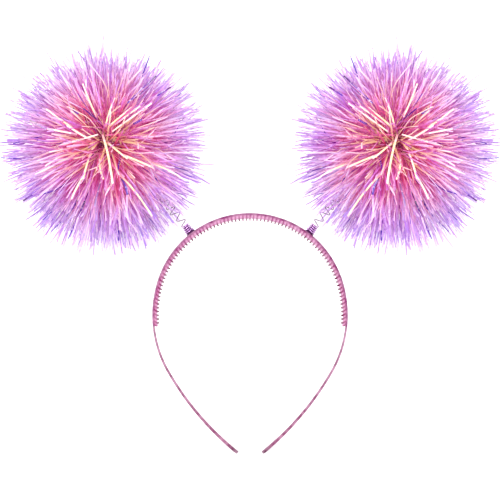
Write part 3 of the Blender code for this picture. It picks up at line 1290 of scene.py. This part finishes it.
@dataclass
class TinselBall:
    """A pompom: thousands of narrow film strips that spread from one heart in tufts."""

    lay: Lay
    spring: Spring
    radius: float = 0.0671
    lift: float = 0.0006
    tufts: int = 430
    tuft_scatter: float = 0.055
    strips_a_tuft: int = 11
    fewest: int = 3
    spread: float = 0.105
    parting: float = math.radians(42)
    parting_share: float = 0.35
    width: float = 0.00086
    width_spread: tuple[float, float] = (-0.06, 0.28)
    width_limits: tuple[float, float] = (0.6, 1.8)
    taper: tuple[tuple[float, ...], ...] = ((0.0, 0.2, 0.85, 1.0), (0.7, 1.0, 1.0, 0.75))
    cream_width: float = 0.85
    crease: float = 0.00014
    rings: int = 9
    ring_power: float = 1.3
    root: tuple[float, float] = (0.0010, 0.0120)
    root_spread: float = 0.0040
    shortest: float = 0.77
    length_power: float = 1.15
    cropped: float = 0.12
    cropped_to: tuple[float, float] = (0.62, 0.92)
    coral: tuple[float, float, float] = (0.30, -0.28, 0.35)  # share, by height and by tuft
    cream: tuple[float, float] = (0.07, 0.20)  # share, and what the front and back have more, as painted highlight on strips that face them
    indigo: float = 0.022
    sheltered: float = 0.45
    strays: float = 0.18
    stray_lean: float = 0.34
    bow: float = 0.022
    ripple: float = 0.006
    ripples: float = 7.0
    kink: float = 0.050
    kinked: float = 0.40
    kink_start: float = 0.70
    twist: float = 1.5
    front_low: float = 0.60
    front_high: float = 1.04
    front_bend: float = 0.0005
    floor_gap: float = 0.0006
    seed: int = 5
    dice: np.random.Generator = field(init=False, repr=False)

    def __post_init__(self) -> None:
        """Start the ball's own dice."""
        self.dice = np.random.default_rng(self.seed)

    @property
    def flip(self) -> np.ndarray:
        """What turns the right-hand ball's coordinates into this side's, and back."""
        return np.array((self.spring.side.value, 1.0, 1.0))

    def tuft_ways(self) -> np.ndarray:
        """Spread the tufts evenly over the ball.

        Returns:
            Rows of unit vectors, mirrored later for the left side.
        """
        count = self.tufts
        index = np.arange(count) + 0.5
        height = 1.0 - 2.0 * index / count
        angle = math.pi * (1.0 + math.sqrt(5.0)) * index
        ring = np.sqrt(1.0 - height * height)
        ways = np.column_stack((ring * np.cos(angle), ring * np.sin(angle), height))
        ways += self.dice.normal(0.0, self.tuft_scatter, ways.shape)
        return unit(ways)

    def strip_ways(self) -> tuple[np.ndarray, np.ndarray]:
        """Give every strip its heading and its tuft, fewer where the ball's front parts.

        Returns:
            Rows of unit vectors, and each strip's tuft number.
        """
        tufts = self.tuft_ways()
        brink = math.cos(self.parting)
        inside = np.clip((tufts[:, 2] - brink) / (1.0 - brink), 0.0, 1.0)
        share = 1.0 - (1.0 - self.parting_share) * inside
        wished = self.strips_a_tuft * share * self.dice.uniform(0.7, 1.3, len(tufts))
        counts = np.maximum(self.fewest, np.round(wished)).astype(int)
        tuft = np.repeat(np.arange(len(tufts)), counts)
        spread = np.full((len(tuft), 1), self.spread)
        spread[self.dice.random(len(tuft)) < self.strays] = self.stray_lean
        ways = tufts[tuft] + self.dice.normal(0.0, 1.0, (len(tuft), 3)) * spread
        return unit(ways), tuft

    def lengths(self, ways: np.ndarray, centre: np.ndarray, heart: np.ndarray) -> np.ndarray:
        """Cut each strip where it leaves the ball, some of them sooner.

        Args:
            ways: The strips' headings.
            centre: Middle of the ball.
            heart: Where the strips start.

        Returns:
            Each strip's length from the heart.
        """
        chance = self.dice.random(len(ways))
        shares = 1.0 - (1.0 - self.shortest) * chance ** self.length_power
        short = self.dice.random(len(ways)) < self.cropped
        shares[short] *= self.dice.uniform(*self.cropped_to, short.sum())
        offset = heart - centre
        inward = ways @ offset
        limit = self.radius * shares
        return -inward + np.sqrt(inward ** 2 - offset @ offset + limit ** 2)

    def choose_films(self, ways: np.ndarray, tuft: np.ndarray) -> np.ndarray:
        """Choose each strip's colour family.

        Args:
            ways: The strips' headings.
            tuft: The strips' tufts.

        Returns:
            A Film for each strip.
        """
        count = len(ways)
        tuft_mood = self.dice.random(self.tufts)[tuft]
        usual, by_height, by_tuft = self.coral
        coral = usual + by_height * ways[:, 1] + by_tuft * (tuft_mood - 0.5)
        cream = self.cream[0] + self.cream[1] * np.abs(ways[:, 2]) ** 2
        dart = self.dice.random(count)
        films = np.full(count, int(Film.ORCHID))
        films[dart < cream + coral] = Film.CORAL
        films[dart < cream] = Film.CREAM
        films[self.dice.random(count) < self.indigo] = Film.INDIGO
        return films

    def grow(self) -> dict[str, np.ndarray]:
        """Grow the right-hand ball in the hoop's coordinates.

        Returns:
            Corners with the shape (strip, ring, corner, 3), and values with (strip, ring).
        """
        centre = np.array(self.spring.centre) * self.flip + np.array((0.0, self.lift, 0.0))
        heart = np.array(self.spring.heart) * self.flip
        ways, tuft = self.strip_ways()
        ends = self.lengths(ways, centre, heart)
        films = self.choose_films(ways, tuft)
        count = len(ways)
        chance = self.dice.random(count)
        starts = self.dice.uniform(*self.root, count)
        share = 1.0 - (1.0 - np.linspace(0.0, 1.0, self.rings + 1)) ** self.ring_power
        reach = starts[:, None] + (ends - starts)[:, None] * share
        aside = unit(np.cross(ways, self.dice.normal(0.0, 1.0, (count, 3))))
        other = np.cross(ways, aside)[:, None, :]
        aside = aside[:, None, :]
        middle = self.bend(heart, ways[:, None, :] * reach[:, :, None], share, aside, other)
        roll = self.dice.uniform(0.0, math.pi, (count, 1))
        roll = roll + self.dice.normal(0.0, self.twist, (count, 1)) * share
        cosine, sine = np.cos(roll)[..., None], np.sin(roll)[..., None]
        across = cosine * aside + sine * other
        over = cosine * other - sine * aside
        taper = np.interp(share, *self.taper)
        luck = self.dice.lognormal(*self.width_spread, (count, 1))
        wide = self.width * taper * np.clip(luck, *self.width_limits)
        self.chart(middle, films, wide, across, over)
        corners = np.stack(
            (
                middle + across * (wide / 2)[..., None],
                middle + over * (self.crease * taper)[:, None],
                middle - across * (wide / 2)[..., None],
            ),
            axis=2,
        )
        sideways = np.sqrt(np.maximum(1.0 - ways[:, 2] ** 2, 0.0))
        outer = self.sheltered + (1.0 - self.sheltered) * sideways[:, None]
        tone = reach / self.radius * outer
        return {
            "corners": corners,
            "tone": tone,
            "along": reach / self.radius,
            "chance": np.repeat(chance[:, None], self.rings + 1, axis=1),
            "family": np.repeat(films[:, None].astype(float), self.rings + 1, axis=1),
        }

    def bend(
        self,
        heart: np.ndarray,
        straight: np.ndarray,
        share: np.ndarray,
        aside: np.ndarray,
        other: np.ndarray,
    ) -> np.ndarray:
        """Scatter the strips' roots, bow and ripple them, and kink the ends of some.

        Args:
            heart: Where the strips start.
            straight: The strips' straight middle lines, from the heart.
            share: Each ring's share of a strip's length.
            aside: A direction across each strip.
            other: The direction across the strip and aside.

        Returns:
            The bent middle lines.
        """
        count = len(straight)
        bow = self.dice.normal(0.0, self.bow, (count, 1)) * self.radius
        wave = self.dice.normal(0.0, self.ripple, (count, 1)) * self.radius
        phase = self.dice.uniform(0.0, 2 * math.pi, (count, 1))
        swing = bow * (share - 0.25) * share
        ripple = wave * np.sin(self.ripples * share + phase) * share
        fixed = (1.0 - share)[None, :, None]
        knot = self.dice.normal(0.0, self.root_spread, (count, 1, 3)) * fixed
        middle = heart + knot + straight
        middle += aside * swing[:, :, None] + other * ripple[:, :, None]
        curl = self.dice.normal(0.0, self.kink, (count, 1, 3)) * self.radius
        curl *= self.dice.random((count, 1, 1)) < self.kinked
        past = np.maximum(share - self.kink_start, 0.0) / (1.0 - self.kink_start)
        return middle + curl * past[None, :, None]

    def chart(
        self,
        middle: np.ndarray,
        films: np.ndarray,
        wide: np.ndarray,
        across: np.ndarray,
        over: np.ndarray,
    ) -> None:
        """Lay the long bright and dark strips that show on the ball's front, flat to the front.

        Args:
            middle: The strips' middle lines, of which the first ones are laid anew.
            films: The strips' colour families.
            wide: The strips' widths, ring by ring.
            across: The strips' directions across, ring by ring.
            over: The strips' directions off their face, ring by ring.
        """
        heart = np.array(self.spring.heart) * self.flip
        share = np.linspace(0.0, 1.0, self.rings + 1)[:, None]
        rows = [(film, *row) for film, strips in FRONT_STRIPS.items() for row in strips]
        for index, (film, left, low, right, high, width) in enumerate(rows):
            start, end = np.array((-left, low)), np.array((-right, high))
            flat = (start + (end - start) * share) / 1000.0
            distance = np.linalg.norm(flat, axis=1)
            lift = self.front_low + (self.front_high - self.front_low) * distance / self.radius
            front = np.sqrt(np.maximum((self.radius * lift) ** 2 - distance ** 2, 0.0001))
            bend = self.dice.normal(0.0, self.front_bend) * np.sin(math.pi * share[:, 0])
            line = np.column_stack((flat[:, 0] + bend, flat[:, 1] - bend, front))
            middle[index] = heart + line
            films[index] = film
            wide[index] = width / 1000.0 * (self.cream_width if film == Film.CREAM else 1.0)
            heading = unit(line[-1] - line[0])
            across[index] = unit(np.cross((0.0, 0.0, 1.0), heading))
            over[index] = np.cross(heading, across[index])

    def make(self, material: bpy.types.Material) -> list[bpy.types.Object]:
        """Make the ball's strips as two joined pieces, its front and its back half.

        Args:
            material: The film's material.

        Returns:
            The pieces.
        """
        grown = self.grow()
        front = grown["corners"][:, -1, 0, 2] >= 0.0
        pieces = []
        for part, chosen in (("front", front), ("back", ~front)):
            name = f"{self.spring.side.word}_tinsel_{part}"
            half = {key: row[chosen] for key, row in grown.items()}
            pieces.append(self.join(name, half, material))
        return pieces

    def join(
        self, name: str, grown: dict[str, np.ndarray], material: bpy.types.Material
    ) -> bpy.types.Object:
        """Join strips into one mesh of closed three-sided strips.

        Args:
            name: The piece's name.
            grown: The strips' points and values.
            material: The film's material.

        Returns:
            The piece.
        """
        corners = grown["corners"] * self.flip
        count, rings = corners.shape[:2]
        first = np.arange(count)[:, None, None] * rings * 3
        ring = np.arange(rings - 1)[None, :, None] * 3
        corner = np.arange(3)[None, None, :]
        after = (corner + 1) % 3
        quads = np.stack(
            (
                first + ring + corner,
                first + ring + after,
                first + ring + 3 + after,
                first + ring + 3 + corner,
            ),
            axis=-1,
        ).reshape(-1, 4)
        last = (rings - 1) * 3
        base = first[:, 0, 0]
        roots = np.stack((base + 2, base + 1, base), axis=-1)
        tips = np.stack((base + last, base + last + 1, base + last + 2), axis=-1)
        if self.spring.side is Side.LEFT:
            quads, roots, tips = quads[:, ::-1], roots[:, ::-1], tips[:, ::-1]
        mesh = bpy.data.meshes.new(name)
        faces = quads.tolist() + roots.tolist() + tips.tolist()
        mesh.from_pydata(corners.reshape(-1, 3).tolist(), [], faces)
        for key in ("tone", "along", "chance", "family"):
            values = np.repeat(grown[key].reshape(-1), 3).astype(np.float32)
            set_values(mesh, key, values)
        self.map_strips(mesh, count, rings)
        ball = add_item(name, mesh)
        self.lay.finish(ball, material, "tinsel_film", f"{self.spring.side.word}_pompom")
        points = read_points(mesh)
        points[:, 2] = np.maximum(points[:, 2], self.floor_gap)
        move_points(mesh, points)
        return ball

    @staticmethod
    def map_strips(mesh: bpy.types.Mesh, count: int, rings: int) -> None:
        """Give every strip its own cell of the piece's map, its three sides one above another.

        Args:
            mesh: The joined strips, quads first and then the end faces.
            count: How many strips there are.
            rings: How many rings a strip has.
        """
        cells = math.ceil(math.sqrt(count))
        index = np.arange(count)
        cell = np.stack((index % cells, index // cells), axis=-1) / cells
        corner_of = np.empty(len(mesh.loops), np.int32)
        mesh.loops.foreach_get("vertex_index", corner_of)
        strip, inside = np.divmod(corner_of, rings * 3)
        ring, corner = np.divmod(inside, 3)
        quads = count * (rings - 1) * 3 * 4
        side = np.concatenate((np.arange(quads) // 4 % 3, corner[quads:]))
        low = np.where(corner == side, 0.0, 1.0)
        low[quads:] = 0.5
        end_gap, cell_gap, lane, lane_gap = 0.04, 0.03, 0.313, 0.05
        up = (side + lane_gap + (1.0 - 2 * lane_gap) * low) * lane
        u = cell[strip, 0] + (end_gap + (1.0 - 2 * end_gap) * ring / (rings - 1)) / cells
        v = cell[strip, 1] + (cell_gap + up) / cells
        layer = mesh.uv_layers.new(name="OFBake")
        layer.data.foreach_set("uv", np.column_stack((u, v)).astype(np.float32).ravel())


@dataclass
class Studio:
    """Pale floor, soft lights, and the camera square to the hoop's front."""

    lay: Lay
    target: tuple[float, float, float] = (0.0, -0.0231, 0.0)
    distance: float = 1.6
    frame_width: float = 0.3125
    sensor: float = 36.0
    floor_size: float = 12.0
    room_light: float = 1.40
    lamps: tuple[tuple[str, tuple[float, float, float], float, float], ...] = (
        ("key", (-0.5, -0.3, 1.3), 0.5, 13.0),
        ("fill", (0.7, -0.6, 1.0), 0.5, 7.0),
        ("back", (0.2, 0.9, 0.9), 0.4, 7.0),
    )  # name, place, side in metres and watts

    def make_floor(self) -> None:
        """Lay the floor."""
        bpy.ops.object.select_all(action="DESELECT")
        bpy.ops.mesh.primitive_plane_add(size=self.floor_size, location=(0.0, 0.0, 0.0))
        floor = bpy.context.object
        floor.name = "floor"
        floor.data.materials.append(FloorFinish().make())

    def make_light(self, name: str, place: Vector, size: float, power: float) -> None:
        """Hang one square softbox that looks at the headband.

        Args:
            name: The light's name.
            place: Where it hangs.
            size: Its side, in metres.
            power: Its power, in watts.
        """
        lamp = bpy.data.lights.new(name, "AREA")
        lamp.shape = "SQUARE"
        lamp.size = size
        lamp.energy = power
        item = add_item(name, lamp)
        item.location = place
        item.rotation_euler = (-place).to_track_quat("-Z", "Y").to_euler()

    def make_world(self) -> None:
        """Fill the room with even white light."""
        world = bpy.data.worlds.new("studio")
        world.use_nodes = True
        sky = world.node_tree.nodes["Background"]
        sky.inputs["Color"].default_value = (1.0, 1.0, 1.0, 1.0)
        sky.inputs["Strength"].default_value = self.room_light
        bpy.context.scene.world = world

    def make_camera(self) -> None:
        """Place the camera as the photograph has it."""
        lens = bpy.data.cameras.new("camera")
        lens.sensor_width = self.sensor
        lens.lens = self.sensor * self.distance / self.frame_width
        lens.clip_start = 0.1
        lens.clip_end = 30.0
        camera = add_item("camera", lens)
        stand = Vector(self.target) + Vector((0.0, 0.0, self.distance))
        camera.matrix_world = self.lay.matrix @ Matrix.Translation(stand)
        bpy.context.scene.camera = camera

    def make(self) -> None:
        """Set the whole studio up."""
        self.make_floor()
        self.make_world()
        for name, place, size, power in self.lamps:
            self.make_light(name, Vector(place), size, power)
        self.make_camera()
        bpy.context.scene.view_settings.view_transform = "Standard"


def main() -> None:
    """Build every piece in order, then the studio."""
    logging.basicConfig(level=logging.INFO, format="%(name)s %(message)s")
    lay = Lay(frame["record"])
    line = HoopLine()
    pieces = [Comb(lay, line).make(BandFinish())]
    wire = WireFinish().make()
    # dark painted shade for the spring seats
    plastic = SeatShadeFinish().make()
    film = TinselFinish().make()
    for side in Side:
        spring = Spring(lay, line, side)
        pieces += [spring.make_seat(plastic), spring.make_wire(wire)]
        pieces += TinselBall(lay, spring).make(film)
    for piece in pieces:
        log.info("%s: %d faces", piece.name, len(piece.data.polygons))
    Studio(lay).make()


if __name__ == "__main__":
    main()
